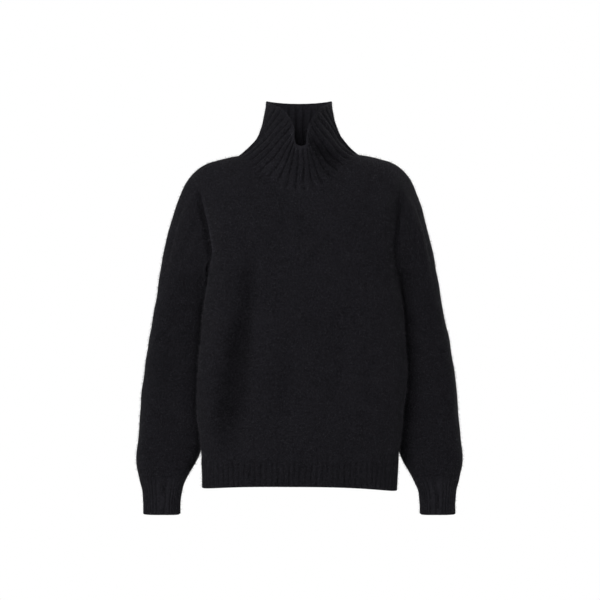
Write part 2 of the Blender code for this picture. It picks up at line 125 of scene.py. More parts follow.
# The shoulder line, from the neck out
SHOULDER = as_table(
    "across height", (0, 9), (60, 8.5), (113, 5), (156, -4.6), (174, -10.4), (190, -20.5), (215, -48)
)
SHOULDER_TIP = 190.0
SHOULDER_TILT = 0.008  # slope up to the wearer's left
SHOULDER_ROLL = {"front": 125.0, "back": 100.0}  # height over which each panel curves in to that line

# The crease where the sleeve meets the body
CREASE_TOP = -50.0  # height where it starts
CREASE_FULL = -105.0  # and where it is full
SINK = {"front": 16.0, "back": 7.0}  # how far the panel is taken in there
SINK_REACH = 22.0
SINK_FADES = 60.0  # it fades over this height below the armpit
CREASE = 1.4  # how steeply the sleeve leaves the seam, as a slope
FURROW = 3.5  # depth of the furrow in the sleeve beside that seam
FURROW_AWAY = 6.0  # its distance from the seam
FURROW_STARTS = 4.0  # distance from the seam over which it rises
FURROW_WIDTH = 5.0
FURROW_FADES = 50.0  # it fades over this height above the armpit

# The neckline
NECK_POINT = 113.0  # half its width
NECK_LOW = {"front": -75.0, "back": -10.0}  # height of its middle
NECK_CURVE = {"front": 1.75, "back": 2.2}  # power of the curve up from there
NECK_SPANS = 96  # spans of each panel's grid along it

# The panels' grid
PANEL_SPANS = 192
EDGE_CLOSER = 0.4  # how much closer together the columns are at the side seams
SIDE_ROWS = 80  # spans up to the armpit
ARMHOLE_ROWS = 72  # and from there to the top edge
ARMHOLE_SETTLES = 0.35  # share of that height over which the side's edge curves in to the armhole

# The sleeves and cuffs: level ovals from an inner line, next to the body, to an outer one. Shift and spread
# move the inner and the outer line to the wearer's left, on both sides.
OVAL_COLUMNS = "height inner outer shift spread middle half_depth squareness"
SLEEVE = as_table(
    OVAL_COLUMNS,
    (-599, 211, 304, 2, 1.5, 32, 41, 2.3),
    (-580, 199.5, 308.5, 2, 1.5, 38, 47, 2.5),
    (-560, 190.5, 309.5, 2, 1.5, 43, 51, 2.7),
    (-530, 185.0, 307, 3, 1.5, 47, 53, 2.8),
    (-474, 189.5, 301.5, 5, 1.5, 48, 55, 2.8),
    (-417, 192.5, 295, 7, 2, 48, 56, 2.8),
    (-361, 190.5, 287, 8.5, 1, 46, 57, 2.8),
    (-300, 184.5, 277, 9, 0, 42, 58, 2.5),
)
UNDERARM_FORWARD = 0.30  # how far forward the seam's lowest point lies round the sleeve, in radians
INNER_CORNER = 1.9  # how much squarer the front corner beside the body is
OUTER_CORNER = 1.2  # and the front corner away from it
SLOPE_SPAN = 37.0  # height over which the slope of the hanging sleeve is measured
CAP_SPANS = 60
SLEEVE_ROWS = 90
# Handles of the cap's curves, at the seam and at the hanging sleeve, each under the arm and at the shoulder
CAP_REACH = ((5.0, 59.0), (76.0, 106.0))
SEAM_ROWS = 12  # rows from the seam over which the sleeve's folds rise
CUFF = as_table(
    OVAL_COLUMNS,
    (-672, 227, 294.5, 3, 1.5, 30, 31, 2.3),
    (-647, 226.5, 295, 3, 1.5, 30, 31, 2.3),
    (-626, 223, 297, 3, 1.5, 31, 33, 2.3),
    (-612, 218, 300.5, 2, 1.5, 32, 37, 2.3),
    (-599, 211, 304, 2, 1.5, 32, 41, 2.3),
)
CUFF_ROWS = 30

# Folds of the sleeves on the wearer's left, 1, and right, -1. Across is measured round the sleeve from its
# outer line, forward.
SLEEVE_FOLDS = {
    1: as_table(
        FOLD_COLUMNS,
        (104, -78, 84, -190, 7, 9, 3.2),
        (120, -300, 60, -372, 9, 14, 3.0),
        (128, -350, 74, -400, 8, 12, 2.2),
        (30, -430, 44, -570, 12, 16, 2.0),
        (-60, -330, -110, -400, 12, 14, 3.0),
        (-36, -420, -60, -560, 12, 18, 2.2),
        (-104, -110, -84, -210, 8, 10, 2.2),
        (-6, -180, 8, -330, 14, 18, 1.8),
    ),
    -1: as_table(
        FOLD_COLUMNS,
        (108, -96, 88, -200, 8, 11, 2.4),
        (112, -270, 66, -350, 10, 14, 2.6),
        (126, -360, 84, -430, 9, 13, 2.4),
        (46, -420, 26, -560, 12, 18, 2.2),
        (-64, -320, -104, -396, 12, 14, 2.8),
        (-24, -400, -44, -550, 12, 18, 2.0),
        (-100, -120, -88, -216, 8, 10, 2.0),
        (10, -170, -8, -310, 14, 18, 1.6),
        (158, -200, 134, -275, 11, 12, -7.0),
        (186, -188, 156, -244, 11, 11, -5.5),
    ),
}

# Small puckers where the sleeve is drawn into its cuff
GATHERS = {
    "seed": 31,
    "count": 17,
    "round": 158,  # how far round from the sleeve's outer line, either way
    "stray": 5,  # how far each strays from even spacing
    "above": (18, 48),  # how far above the cuff's top each starts
    "below": 12,  # and how far below it each ends
    "closer": 0.93,  # how much closer together they end
    "depth": (0.5, 1.6),
    "width": (3.5, 6.5),
    "wider": 1.3,  # how much wider each starts
}

HEM_ROWS = 20

# The collar's rim, on the wearer's left from the notch round to the middle of the back. Rib counts the
# ribs from the notch. Upright is how far the cloth turns upright there, and lean how far forward that is.
RIM = as_table(
    "rib across backward height upright lean",
    (0, 0, -97, 15, 0.55, 0.30),
    (0.9, 8, -96.5, 17.5, 0.45, 0.30),
    (2.8, 11.5, -94, 31, 0.25, 0.35),
    (5.2, 14.5, -88, 54, 0.10, 0.35),
    (7.0, 23, -76, 71, 0.10, 0.30),
    (8.6, 37, -57, 88, 0.20, 0.15),
    (10.1, 50, -33, 96, 0.22, 0.05),
    (11.5, 57.5, -8, 103, 0.22, 0.0),
    (12.5, 60.5, 12, 106, 0.24, 0.0),
    (14.0, 52, 36, 106.5, 0.55, -0.03),
    (15.9, 30, 52, 105.5, 0.85, -0.05),
    (18, 0, 58, 105, 0.85, -0.05),
)
NOTCH_SHIFT = 5.0  # how far the notch lies to the wearer's left
RIM_SHIFT = 1.0  # and the rest of the rim
NOTCH_FORWARD = 90.0  # how far forward the notch's shift is whole
COLLAR_SPANS = 60
COLLAR_REACH = (0.19, 0.50)  # handles of its curves at seam and rim, as shares of the way between
RIM_ROLL = 1.8  # how far the rim rolls outward
RIM_ROLL_WIDTH = 8.0

# The ribs
COLLAR_RIBS = 36
RIB_COUNT = {"collar": COLLAR_RIBS, "hem": 48, "cuff": 32}
RIB_COLUMNS = {"collar": 16, "hem": 8, "cuff": 8}  # columns of the grid to a rib
RIB_HEIGHT = {"collar": 2.4, "hem": 1.2, "cuff": 1.2}
RIB_FULLNESS = 0.10  # how much wider ribs are than their grooves, as the share of a second wave
RIB_START = {"collar": 0.5, "hem": 0, "cuff": 0}  # where the first column lies, in ribs from a groove
# How far ribs stray sideways, in ribs, and how much their height differs, each with its wander's size
RIB_STRAY = {"collar": (0.06, 45), "hem": (0.05, 40), "cuff": (0.05, 40)}
RIB_UNEVEN = {"collar": (0.18, 40), "hem": (0.25, 30), "cuff": (0.25, 30)}
RIB_SEED = {"collar": 51, "hem": 21, "cuff": 41}
RIBS_RISE = {"collar": 0.26, "hem": 1 / 5, "cuff": 1 / 6}  # share of a piece's height over which they rise
RIBS_AT_RIM = 0.25  # share of their height that the collar's ribs keep on its rim
HEM_SIDE_COLUMNS = 3  # columns over which the hem's ribs rise at its side seams

# Painted shade in the wool's hollows, as a share of the full painted shade. A negative share is painted
# light.
# painted shade at the bottom of the body's folds
FOLD_SHADE = 0.95
DEEP_FOLD = 16.0  # depth of a fold whose bottom gets all of this painted shade
SLEEVE_SHADE = {1: 1.0, -1: 1.1}  # painted shade beside the armhole seam, in the crease, on the wearer's left and right
SLEEVE_SHADE_REACH = {1: 11.0, -1: 17.0}
PANEL_SHADE = {1: 1.0, -1: -2.2}  # and on the panels' side of that seam; on the wearer's right it is a painted highlight
PANEL_SHADE_REACH = 7.0
# painted shade in the grooves between the ribs
GROOVE_SHADE = {"collar": 1.0, "hem": 0.65, "cuff": 1.3}
GROOVE_HEIGHTS = (-0.5, -0.1)  # heights on the ribs' wave where that painted shade is full and where it is gone
# painted shade in the collar's fold, full where the fold is this deep
COLLAR_FOLD_SHADE = 0.95
DEEP_COLLAR_FOLD = 5.0
PAINTED_CUFF_LIGHT = 0.8  # painted light: how much lighter the drawn-in cuffs are painted all over
# Painted light: how much lighter the collar is painted over the notch's rim, behind, where its inside shows,
# and under the notch. Width is measured down from the rim. Ribs are counted from the notch, to where it is
# full and gone.
PAINTED_RIM_LIGHT = 1.2
RIM_LIGHT_WIDTH = 14.0
RIM_LIGHT_RIBS = (4, 6)
PAINTED_BACK_LIGHT = 0.9
BACK_LIGHT_WIDTH = 38.0
BACK_LIGHT_RIBS = (12, 9)
PAINTED_MIDDLE_LIGHT = 0.3
MIDDLE_LIGHT_RIBS = (2.5, 5)
MIDDLE_RIB = -1  # the rib that this last painted light is counted from

# The soft wander of the cloth, as waves that add up
WAVES = 14
WAVE_FINENESS = (0.5, 1.3)  # how much finer the waves are than the size asked for
WANDER = ((1.1, 150, 5), (0.45, 55, 6))  # height, size and seed of two wanders
WANDER_RISES = 60.0  # height above the hem band over which the panels' wander rises
WANDER_TOP = 20.0  # height where it ends
WANDER_FADES = 90.0  # height below that over which it fades
SLEEVE_WANDER = 0.8  # how high it is on the sleeves
CUFF_CLEAR = 45.0  # height above the cuff over which it rises there

# The knit
WALE = 2.2  # width of a stitch
COURSE = 1.7  # its height
WALES_IN_RIB = 4

FINE = 721  # points on a line before it is divided evenly


# ---------- curves


def through(places, values, place):
    """The value at this place on a smooth curve through the values."""
    slopes = np.gradient(values, places)
    place = np.clip(place, places[0], places[-1])
    row = np.clip(np.searchsorted(places, place) - 1, 0, len(places) - 2)
    span = places[row + 1] - places[row]
    t = (place - places[row]) / span
    rise = values[row + 1] - values[row]
    start = slopes[row] * span
    end = slopes[row + 1] * span
    return values[row] + t * (start + t * (3 * rise - 2 * start - end + t * (start + end - 2 * rise)))


def read(table, column, place):
    """A column of a table at this place in its first column."""
    return through(table[table.dtype.names[0]], table[column], place)


def divided(points, values, shares):
    """The values at these shares of the length of the line through the points."""
    steps = np.linalg.norm(np.diff(points, axis=0), axis=1)
    length = np.concatenate([[0.0], np.cumsum(steps)])
    return np.interp(shares * length[-1], length, values)


def evenly(points, values, count):
    """The values at count + 1 places that divide the line through the points into equal lengths."""
    return divided(points, values, np.linspace(0, 1, count + 1))


def unit(vectors):
    return vectors / np.linalg.norm(vectors, axis=-1, keepdims=True)


def smooth_step(value):
    value = np.clip(value, 0, 1)
    return value * value * (3 - 2 * value)


def within(distance, full, gone):
    """A share that fades from 1 at one distance to 0 at another, and stays so on either side."""
    return smooth_step((gone - distance) / (gone - full))


def bezier(start, start_handle, end_handle, end, t):
    s = 1 - t
    return s**3 * start + 3 * s * s * t * start_handle + 3 * s * t * t * end_handle + t**3 * end


def unevenness(points, size, seed):
    """A soft wander of the cloth, about 1 either way, with features of about this size."""
    chance = np.random.default_rng(seed)
    total = np.zeros(points.shape[:-1])
    for _ in range(WAVES):
        direction = unit(chance.normal(size=3)) * chance.uniform(*WAVE_FINENESS) * 2 * np.pi / size
        total += np.sin(points @ direction + chance.uniform(0, 2 * np.pi))
    return total / np.sqrt(WAVES / 2)


def lengths_along(grid, axis):
    """How far each point lies from the first in its column, for axis 0, or in its row, for axis 1."""
    steps = np.linalg.norm(np.diff(grid, axis=axis), axis=2)
    first = np.zeros_like(steps.take([0], axis))
    return np.concatenate([first, np.cumsum(steps, axis=axis)], axis=axis)


def closed_up(grid, ring):
    """The grid, with its first column again at the end if it is a ring."""
    return np.concatenate([grid, grid[:, :1]], axis=1) if ring else grid


# ---------- the body's form


def squared(value, squareness):
    return np.sign(value) * np.abs(value) ** (2 / squareness)


def shoulder_height(across):
    return read(SHOULDER, "height", np.abs(across)) + SHOULDER_TILT * across


def fold_depth(folds, x, height):
    """How far the folds take the cloth in at this place. Each fades out at its two ends."""
    total = 0 * x
    for fold in folds:
        down = np.clip((fold["top_height"] - height) / (fold["top_height"] - fold["low_height"]), 0, 1)
        across = fold["top_across"] + (fold["low_across"] - fold["top_across"]) * down
        width = fold["top_width"] + (fold["low_width"] - fold["top_width"]) * down
        lasting = np.sin(np.pi * down) ** FOLD_ENDS
        total = total + fold["depth"] * lasting * np.exp(-(((x - across) / width) ** 2))
    return total


def torso_point(side, turn, height):
    """Point of the body's outer face. Turn is the angle from the middle of that side round to its seam."""
    squareness = SQUARENESS[side]
    from_middle = read(TORSO, "half_width", height) * squared(np.sin(turn), squareness)
    x = from_middle + read(TORSO, "shift", height)
    depth = read(TORSO, side, height) * squared(np.maximum(np.cos(turn), 0), squareness)
    roll = SHOULDER_ROLL[side]
    climb = np.clip((height - shoulder_height(from_middle) + roll) / roll, 0, 1)
    depth = depth * np.sqrt(1 - climb * climb)
    depth = depth - fold_depth(FOLDS[side], x, height) * smooth_step(depth / FOLDS_START)
    return np.stack([x, -depth if side == "front" else depth, height + 0 * x], axis=-1)


def creased(height):
    """How strong the crease beside an armhole is at this height, from 0 at its top to 1."""
    return smooth_step((CREASE_TOP - height) / (CREASE_TOP - CREASE_FULL))


def beside_armholes(grid, reach):
    """How near each place is to the low part of an armhole, from 0 at this reach away to 1."""
    x, height = grid[..., 0], grid[..., 2]
    beside = smooth_step(1 - (x - x[:, :1]) / reach) + smooth_step(1 - (x[:, -1:] - x) / reach)
    return beside * creased(height) * smooth_step(1 - (ARMPIT - height) / SINK_FADES)


def sink_armholes(side, grid):
    """Moves the cloth beside the armholes back from the body's oval, which makes the crease there."""
    y = grid[..., 1]
    share = beside_armholes(grid, SINK_REACH) * smooth_step(np.abs(y) / FOLDS_START)
    grid[..., 1] -= np.sign(y) * SINK[side] * share


def panel_shade(side, grid):
    """How much painted shade the wool gets in the folds and beside each armhole. Negative where a painted
    highlight makes it lighter.
    """
    hollow = smooth_step(fold_depth(FOLDS[side], grid[..., 0], grid[..., 2]) / DEEP_FOLD)
    crease = np.where(grid[..., 0] > 0, PANEL_SHADE[1], PANEL_SHADE[-1])
    return FOLD_SHADE * hollow + crease * beside_armholes(grid, PANEL_SHADE_REACH)


def turn_at(side, x, height):
    share = np.clip(x / read(TORSO, "half_width", height), -1, 1)
    return np.arcsin(np.sign(share) * np.abs(share) ** (SQUARENESS[side] / 2))


def top_edge(side, x):
    """Height of the panel's top edge: the neckline, then the shoulder seam."""
    neck_point = shoulder_height(NECK_POINT * np.sign(x))
    rise = np.minimum(np.abs(x) / NECK_POINT, 1) ** NECK_CURVE[side]
    neckline = NECK_LOW[side] + (neck_point - NECK_LOW[side]) * rise
    return np.where(np.abs(x) < NECK_POINT, neckline, shoulder_height(x))


def panel_top(side):
    """Where each column of the panel meets its top edge, evenly along the neckline and each shoulder."""
    x = np.linspace(-NECK_POINT, NECK_POINT, FINE)
    height = top_edge(side, x)
    neckline = evenly(torso_point(side, turn_at(side, x, height), height), x, NECK_SPANS)
    shoulder_spans = (PANEL_SPANS - NECK_SPANS) // 2
    shoulder = np.linspace(NECK_POINT, SHOULDER_TIP, shoulder_spans + 1)[1:]
    return np.concatenate([-shoulder[::-1], neckline, shoulder])


def panel_points(side):
    """Grid of a body panel's outer face, rows from the hem band up, columns from -X to +X."""
    turn = np.linspace(-np.pi / 2, np.pi / 2, FINE)
    across = np.linspace(-1, 1, PANEL_SPANS + 1)
    shares = (1 + across + EDGE_CLOSER * np.sin(np.pi * across) / np.pi) / 2
    low_turn = divided(torso_point(side, turn, HEM_TOP + 0 * turn), turn, shares)
    top_x = panel_top(side)
    top_height = top_edge(side, top_x)
    top_turn = turn_at(side, top_x, top_height)
    edge = across**2
    rows = []
    for height in np.linspace(HEM_TOP, ARMPIT, SIDE_ROWS + 1):
        rows.append(torso_point(side, low_turn, np.full(PANEL_SPANS + 1, height)))
    for row in range(1, ARMHOLE_ROWS + 1):
        climb = (1 - np.cos(np.pi * row / ARMHOLE_ROWS)) / 2
        settled = np.sqrt(1 - (1 - min(1.0, climb / ARMHOLE_SETTLES)) ** 2)
        share = edge * settled + (1 - edge) * climb
        row_turn = low_turn + (top_turn - low_turn) * share
        rows.append(torso_point(side, row_turn, ARMPIT + (top_height - ARMPIT) * climb))
    grid = np.array(rows)
    sink_armholes(side, grid)
    return grid


# ---------- making a piece of cloth


def normals_of(grid, ring):
    """Unit normals of a grid of points. A ring's columns close on themselves."""
    if ring:
        along = np.roll(grid, -1, axis=1) - np.roll(grid, 1, axis=1)
    else:
        along = np.gradient(grid, axis=1)
    return unit(np.cross(along, np.gradient(grid, axis=0)))


def without(normals, axis):
    """The normals turned square to an axis, so that a seam's faces stay in one plane across it."""
    flat = normals.copy()
    flat[..., axis] = 0
    return unit(flat)


EDGE_ANGLES = np.radians([36, 72, 108, 144])  # how far round each row of a rounded edge lies
SHARP_ANGLE = np.radians(50)  # faces that meet at more than this keep a hard edge between them
MM_IN_M = 1000


def rounded_edge(outer, normals, end):
    """Rows that turn round the cloth's edge, from its outer face to its inner one."""
    inward = 1 if end == 0 else -2
    lead = unit(outer[end] - outer[inward])
    middle = outer[end] - CLOTH / 2 * normals[end]
    return [middle + CLOTH / 2 * (np.cos(a) * normals[end] + np.sin(a) * lead) for a in EDGE_ANGLES]


def cloth_map(outer, ring, wale_places):
    """Place of each grid point in the flat knit, in millimetres across and along its wales."""
    closed = closed_up(outer, ring)
    if wale_places is None:
        across = lengths_along(closed, 1)
        across -= across[:, across.shape[1] // 2][:, None]
    else:
        across = np.tile(wale_places, (len(outer), 1))
    return np.stack([across, lengths_along(closed, 0)], axis=-1)


def add_object(name, data):
    thing = bpy.data.objects.new(name, data)
    bpy.context.scene.collection.objects.link(thing)
    return thing


def shade_mesh(mesh, shades):
    """Stores the painted shade at each point: how much darker the wool is painted there, and lighter where it
    is negative, as painted light.
    """
    mesh.attributes.new("shade", "FLOAT", "POINT").data.foreach_set("value", shades.ravel())


def wall_faces(flat, ring, rows, over, under):
    """Corners of the wall's faces as indices, and their places in the flat knit. Rows close on themselves."""
    count = len(flat)
    columns = flat.shape[1] - 1 if ring else flat.shape[1]
    row, column = np.meshgrid(np.arange(count), np.arange(flat.shape[1] - 1), indexing="ij")
    corners = [(row, column), (row, column + 1), (row + 1, column + 1), (row + 1, column)]
    quads = np.stack([r % count * columns + c % columns for r, c in corners], axis=-1).reshape(-1, 4)
    maps = np.stack([flat[r % count, c] for r, c in corners], axis=-2).reshape(-1, 4, 2)
    if ring:
        return quads, maps
    starts = np.arange(-(under // 2), rows - 1 + over // 2)
    opposite = 2 * rows + over - 1
    strip = np.stack([starts, opposite - starts, opposite - starts - 1, starts + 1], axis=-1) % count
    for end, side in ((0, strip), (columns - 1, strip[:, ::-1])):
        quads = np.concatenate([quads, side * columns + end])
        maps = np.concatenate([maps, flat[side, end]])
    return quads, maps


def make_cloth(name, outer, normals, ring, turned, material, rounds, places, shade):
    """A closed thin wall: rows run up its outer face, over its top edge and down its inner face."""
    low_round, high_round = rounds
    over = rounded_edge(outer, normals, -1) if high_round else []
    under = rounded_edge(outer, normals, 0)[::-1] if low_round else []
    inner = outer - CLOTH * normals
    section = np.array([*outer, *over, *inner[::-1], *under])
    flat = cloth_map(outer, ring, places)
    turns = EDGE_ANGLES * CLOTH / 2
    over_flat = [flat[-1] + np.array([0, turn]) for turn in turns[: len(over)]]
    under_flat = [flat[0] - np.array([0, turn]) for turn in turns[: len(under)][::-1]]
    section_flat = np.array([*flat, *over_flat, *flat[::-1], *under_flat])
    quads, maps = wall_faces(section_flat, ring, len(outer), len(over), len(under))
    if turned < 0:
        quads, maps = quads[:, ::-1], maps[:, ::-1]
    mesh = bpy.data.meshes.new(name)
    mesh.from_pydata((section.reshape(-1, 3) / MM_IN_M).tolist(), [], quads.tolist())
    mesh.uv_layers.new(name="knit").data.foreach_set("uv", maps.ravel())
    # Painted shade and painted light over the outer face, its edges and its inner face.
    shade_mesh(mesh, np.array([*shade, *[shade[-1]] * len(over), *shade[::-1], *[shade[0]] * len(under)]))
    mesh.shade_smooth()
    mesh.set_sharp_from_angle(angle=SHARP_ANGLE)
    mesh.materials.append(material)
    return add_object(name, mesh)


# ---------- the nap of fibres

FIBRES_TO_CM2 = {"plain_knit": 7.0, "rib_knit": 4.5}
FIBRE_LENGTH = (2.5, 7.0)
FIBRE_WIDTH = 0.18
FIBRE_LEAN = (0.3, 1.3)  # how far it leans from upright where it leaves the cloth, as a slope
FIBRE_BEND = 0.9  # how far it bends on at its middle
FIBRE_BEND_SHARE = (-0.3, 1)  # share of that, from fibre to fibre
FIBRE_DROOP = 0.35  # how far it droops from there
FIBRE_TAPER = 0.8  # how wide it is at its middle, to its width at the root
MM2_IN_CM2 = 100


def scatter(closed, count_to_cm2, chance):
    """Places all over a grid, as many to the square centimetre: each one's row, its column and its point."""
    one = closed[1:, :-1] - closed[:-1, :-1]
    two = closed[:-1, 1:] - closed[:-1, :-1]
    areas = np.linalg.norm(np.cross(one, two), axis=2)
    count = int(areas.sum() / MM2_IN_CM2 * count_to_cm2)
    cell = chance.choice(areas.size, size=count, p=areas.ravel() / areas.sum())
    row, column = np.unravel_index(cell, areas.shape)
    s, t = chance.uniform(size=(2, count, 1))
    return row, column, closed[row, column] + s * one[row, column] + t * two[row, column]


def make_nap(name, outer, normals, ring, material, shade, fibres_to_cm2, seed):
    """Fine fibres that stand off the cloth's outer face, each a narrow strip that bends over."""
    chance = np.random.default_rng(seed)
    row, column, root = scatter(closed_up(outer, ring), fibres_to_cm2, chance)
    count = len(root)
    normal = closed_up(normals, ring)[row, column]
    sideways = unit(np.cross(normal, chance.normal(size=(count, 3))))
    leave = unit(normal + chance.uniform(*FIBRE_LEAN, size=(count, 1)) * sideways)
    bent = FIBRE_BEND * sideways * chance.uniform(*FIBRE_BEND_SHARE, size=(count, 1))
    bend = unit(leave + bent + [0, 0, -FIBRE_DROOP])
    length = chance.uniform(*FIBRE_LENGTH, size=(count, 1))
    width = FIBRE_WIDTH / 2 * unit(np.cross(leave, chance.normal(size=(count, 3))))
    middle = root + length / 2 * leave
    tip = middle + length / 2 * bend
    narrower = FIBRE_TAPER * width
    points = np.stack([root - width, root + width, middle + narrower, middle - narrower, tip], axis=1)
    corners = points.shape[1]
    first = corners * np.arange(count)[:, None]
    faces = (first + [0, 1, 2, 3]).tolist() + (first + [3, 2, 4]).tolist()
    mesh = bpy.data.meshes.new(name)
    mesh.from_pydata((points.reshape(-1, 3) / MM_IN_M).tolist(), [], faces)
    # Each fibre gets the painted shade and painted light of the cloth it stands on.
    shade_mesh(mesh, np.repeat(shade[row, column], corners))
    mesh.materials.append(material)
    return add_object(name, mesh)


# ---------- materials

# Noise in the felted wool: the size of its features in metres, its detail, how much of the tone it makes,
# and how deep its relief is in metres
FELT = {"size": 0.0030, "detail": 3, "tone": 1.8, "relief": 0.0018}
TUFT = {"size": 0.0013, "detail": 2, "tone": 0.8, "relief": 0.0006}
CLOUD = {"size": 0.045, "detail": 2, "tone": 0.25}
STITCH = {"tone": 0.25, "relief": 0.0005}
TONE_START = -1.06  # the tone before these are added
STITCH_SLANT = 0.9  # how far each yarn slants from the middle of its wale to the side, in courses
LEG_HEIGHT = 0.6  # how far yarns stand up from the gaps between them
LEG_ROUNDNESS = 0.5  # powers that round the yarns across and along the wale: lower is flatter on top
YARN_ROUNDNESS = 0.6
DARK_WOOL = (0.0016, 0.0015, 0.0020)
LIGHT_WOOL = (0.0088, 0.0085, 0.0105)
FIBRE = (0.047, 0.046, 0.055)
FIBRE_NOISE = {"size": 0.003, "detail": 1}
FULL_PAINTED_SHADE = 0.35  # painted shade: how much darker the wool is painted at the bottom of a groove or fold
ROUGHNESS = {"plain_knit": 0.95, "rib_knit": 0.92}
KNIT_FINISH = {
    "Specular IOR Level": 0.03,
    "Sheen Weight": 0.008,
    "Sheen Roughness": 0.35,
    "Sheen Tint": (0.80, 0.80, 0.92, 1),
}
FIBRE_FINISH = {"Roughness": 0.8, "Specular IOR Level": 0.2}


def calculate(tree, operation, first, second=None):
    """A Math node's result. Each input is a number or another node's output."""
    step = tree.nodes.new("ShaderNodeMath")
    step.operation = operation
    for socket, value in zip(step.inputs, (first, second)):
        if isinstance(value, bpy.types.NodeSocket):
            tree.links.new(value, socket)
        elif value is not None:
            socket.default_value = value
    return step.outputs[0]


def weighed(tree, parts, start):
    """The start plus each part times its weight."""
    total = start
    for part, weight in parts:
        total = calculate(tree, "ADD", total, calculate(tree, "MULTIPLY", part, weight))
    return total


def noise(tree, place, kind):
    """Noise of this kind, between 0 and 1."""
    texture = tree.nodes.new("ShaderNodeTexNoise")
    texture.inputs["Scale"].default_value = 1 / kind["size"]
    texture.inputs["Detail"].default_value = kind["detail"]
    tree.links.new(place, texture.inputs["Vector"])
    return texture.outputs["Fac"]


def stitches(tree):
    """Height of knitted stitches, from 0 to 1: two slanting yarns to each wale, a row of them to a course."""
    place = tree.nodes.new("ShaderNodeUVMap")
    place.uv_map = "knit"
    split = tree.nodes.new("ShaderNodeSeparateXYZ")
    tree.links.new(place.outputs[0], split.inputs[0])
    across = calculate(tree, "FRACT", calculate(tree, "DIVIDE", split.outputs[0], WALE))
    from_middle = calculate(tree, "ABSOLUTE", calculate(tree, "SUBTRACT", across, 0.5))
    leg = calculate(tree, "MULTIPLY", from_middle, 2)
    course = calculate(tree, "DIVIDE", split.outputs[1], COURSE)
    slanted = weighed(tree, ((course, np.pi), (leg, STITCH_SLANT * np.pi)), 0)
    round_yarn = calculate(tree, "ABSOLUTE", calculate(tree, "SINE", slanted))
    beside = calculate(tree, "SINE", calculate(tree, "MULTIPLY", leg, np.pi))
    full = weighed(tree, ((calculate(tree, "POWER", beside, LEG_ROUNDNESS), LEG_HEIGHT),), 1 - LEG_HEIGHT)
    return calculate(tree, "MULTIPLY", calculate(tree, "POWER", round_yarn, YARN_ROUNDNESS), full)


def bump(tree, height, distance, below=None):
    step = tree.nodes.new("ShaderNodeBump")
    step.inputs["Distance"].default_value = distance
    step.inputs["Strength"].default_value = 1.0
    tree.links.new(height, step.inputs["Height"])
    if below is not None:
        tree.links.new(below, step.inputs["Normal"])
    return step.outputs[0]


def mixed(tree, share, low, high):
    """A colour between two, by share. Inputs 6 and 7 and output 2 are the node's colours."""
    step = tree.nodes.new("ShaderNodeMix")
    step.data_type = "RGBA"
    step.clamp_factor = True
    tree.links.new(share, step.inputs["Factor"])
    step.inputs[6].default_value = (*low, 1)
    step.inputs[7].default_value = (*high, 1)
    return step.outputs[2]


def shaded(tree, tone):
    """The tone, less the painted shade stored on the mesh at each place. Where that is negative, it is
    painted light that makes the tone lighter.
    """
    shade = tree.nodes.new("ShaderNodeAttribute")
    shade.attribute_name = "shade"
    return weighed(tree, ((shade.outputs["Fac"], -FULL_PAINTED_SHADE),), tone)


def new_material(name, finish):
    """A material with these values set on its shader, its tree of nodes, and the shader."""
    material = bpy.data.materials.new(name)
    material.use_nodes = True
    shader = material.node_tree.nodes["Principled BSDF"]
    for socket, value in finish.items():
        shader.inputs[socket].default_value = value
    return material, material.node_tree, shader


def knit_material(name):
    material, tree, shader = new_material(name, {"Roughness": ROUGHNESS[name], **KNIT_FINISH})
    place = tree.nodes.new("ShaderNodeTexCoord").outputs["Object"]
    stitch = stitches(tree)
    felt, tuft, cloud = (noise(tree, place, kind) for kind in (FELT, TUFT, CLOUD))
    parts = ((felt, FELT), (tuft, TUFT), (cloud, CLOUD), (stitch, STITCH))
    tone = weighed(tree, [(part, kind["tone"]) for part, kind in parts], TONE_START)
    # The base colour carries the painted shade and painted light from the mesh.
    tree.links.new(mixed(tree, shaded(tree, tone), DARK_WOOL, LIGHT_WOOL), shader.inputs["Base Color"])
    relief = bump(tree, stitch, STITCH["relief"])
    relief = bump(tree, felt, FELT["relief"], relief)
    relief = bump(tree, tuft, TUFT["relief"], relief)
    tree.links.new(relief, shader.inputs["Normal"])
    return material


def fibre_material():
    material, tree, shader = new_material("wool_fibre", FIBRE_FINISH)
    place = tree.nodes.new("ShaderNodeTexCoord").outputs["Object"]
    # The fibres' colour carries the painted shade and painted light from the mesh.
    tone = shaded(tree, noise(tree, place, FIBRE_NOISE))
    tree.links.new(mixed(tree, tone, DARK_WOOL, FIBRE), shader.inputs["Base Color"])
    return material


# ---------- the pieces


def uneven_cloth(grid, normals, amount):
    """Moves the cloth by a soft wander. Amount is 0 where it stays in place."""
    wander = sum(height * unevenness(grid, size, seed) for height, size, seed in WANDER)
    return grid + (amount * wander)[..., None] * normals


def body_panel(side):
    """A panel's outer grid and normals, which the sleeves and the collar start from too."""
    grid = panel_points(side)
    turned = 1 if side == "front" else -1
    normals = turned * normals_of(grid, False)
    normals[: SIDE_ROWS + 1, [0, -1]] = without(normals[: SIDE_ROWS + 1, [0, -1]], 1)
    shoulder = (PANEL_SPANS - NECK_SPANS) // 2
    for columns in (slice(None, shoulder + 1), slice(-shoulder - 1, None)):
        normals[-1, columns] = without(normals[-1, columns], 1)
    normals[0] = without(normals[0], 2)
    height = grid[..., 2]
    rising = smooth_step((height - HEM_TOP) / WANDER_RISES)
    amount = rising * smooth_step((WANDER_TOP - height) / WANDER_FADES)
    return uneven_cloth(grid, normals, amount), normals


